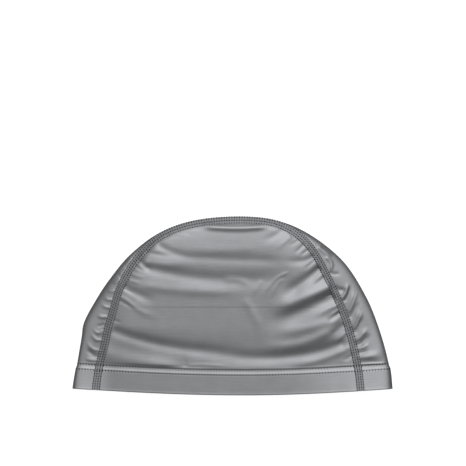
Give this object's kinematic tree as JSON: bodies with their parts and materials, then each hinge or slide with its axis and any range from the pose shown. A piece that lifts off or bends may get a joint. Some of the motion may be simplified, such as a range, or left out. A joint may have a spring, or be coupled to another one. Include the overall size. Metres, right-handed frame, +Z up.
{
  "type": "swim cap",
  "caption": "Soft coated-fabric swim cap of three sewn panels with an elastic hem, lying flat on its side, hollow and open at the hem.",
  "frame": {"origin": "on the surface the cap lies on, below the middle of the laid cap's length and height", "axes": "+X from the cap's front to its back, along the hem; +Y from the hem to the crown; +Z up from the surface, through the left side panel that lies on top"},
  "size_m": [0.241, 0.1354, 0.0178],
  "materials": {
    "coated_cloth": "satin silver-grey polyurethane film on stretch knit",
    "seam_thread": "matte dark grey polyester thread"
  },
  "bodies": {
    "root": {"left_side_panel": "coated_cloth", "right_side_panel": "coated_cloth", "centre_panel": "coated_cloth", "hem": "coated_cloth", "left_seam": "seam_thread", "right_seam": "seam_thread"}
  },
  "joints": []
}
